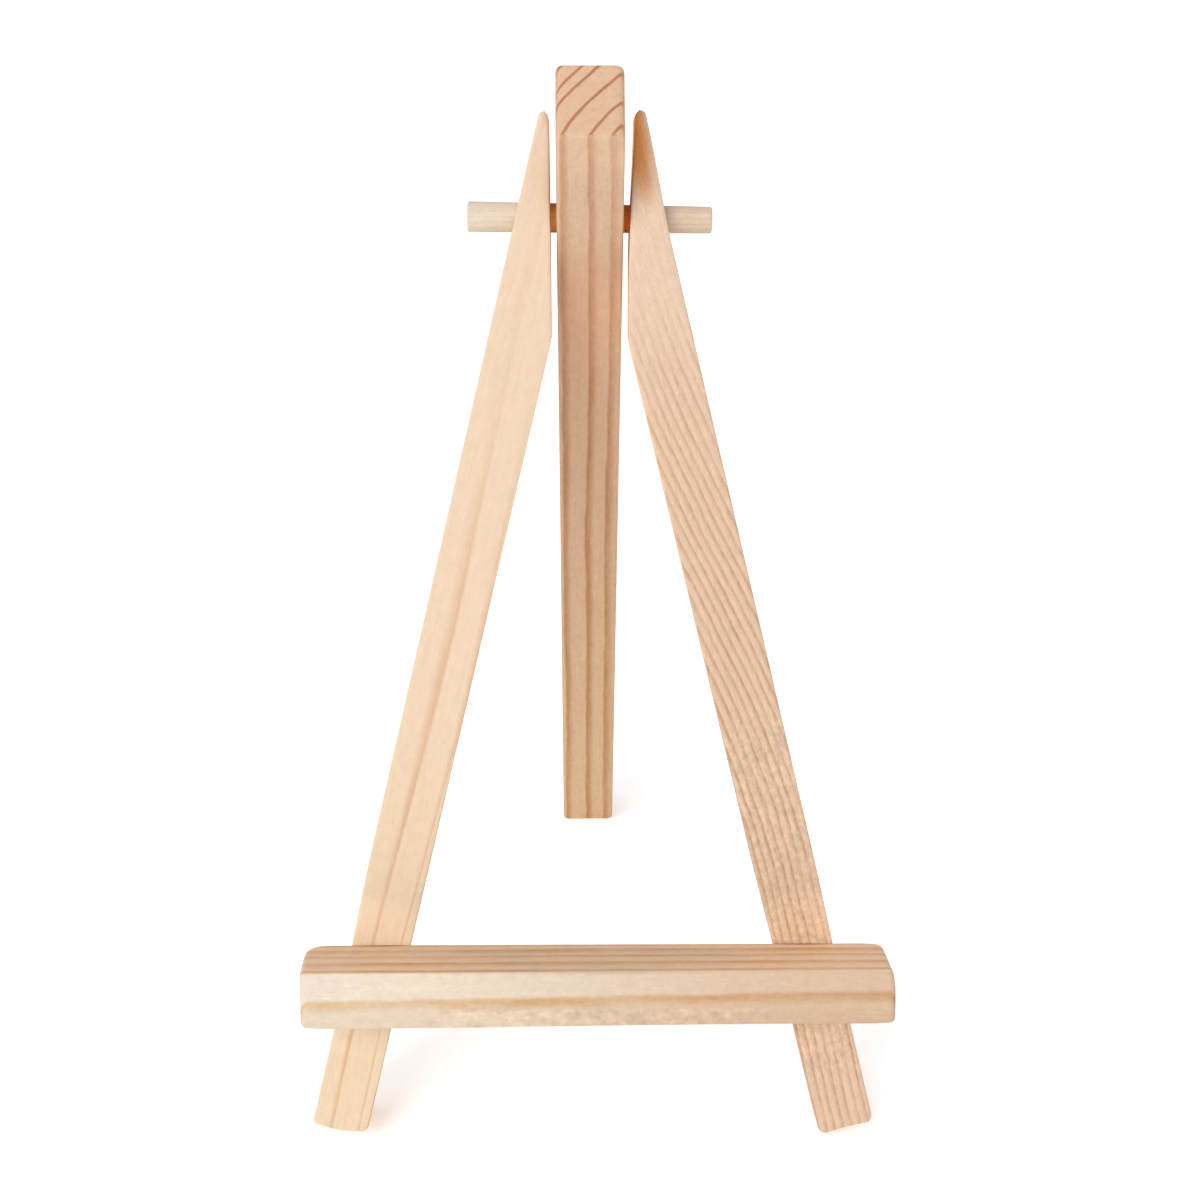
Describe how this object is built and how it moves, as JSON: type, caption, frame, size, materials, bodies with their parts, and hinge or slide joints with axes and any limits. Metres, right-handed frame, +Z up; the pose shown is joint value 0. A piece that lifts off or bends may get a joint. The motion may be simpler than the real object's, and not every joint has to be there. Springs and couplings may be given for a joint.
{
  "type": "tabletop easel",
  "caption": "Small folding tabletop easel in bare wood, with slanted front legs, a picture ledge and a rear prop leg that swings on a dowel.",
  "frame": {"origin": "on the table, under the middle of the easel's bounding box, standing open", "axes": "+Z up, +Y from the picture side towards the rear leg, +X to the right as seen from the picture side"},
  "size_m": [0.0811, 0.1012, 0.1455],
  "materials": {
    "pine_pale": "bare, sanded",
    "pine_rose": "bare, sanded",
    "pine_tan": "bare, sanded",
    "dowel_wood": "bare, sanded",
    "pine_ledge": "bare, sanded",
    "brad_steel": "plain"
  },
  "bodies": {
    "front_frame": {"left_front_leg": "pine_pale", "right_front_leg": "pine_rose", "pivot_dowel": "dowel_wood", "canvas_ledge": "pine_ledge", "upper_left_brad": "brad_steel", "lower_left_brad": "brad_steel", "upper_right_brad": "brad_steel", "lower_right_brad": "brad_steel"},
    "rear_leg": {"rear_leg": "pine_tan"}
  },
  "joints": [
    {"name": "rear_leg_swing", "type": "hinge", "parent": "front_frame", "child": "rear_leg", "pos_m": [0, -0.00688, 0.12437], "axis": [1, 0, 0], "range_deg": [-38.8, 51]}
  ]
}
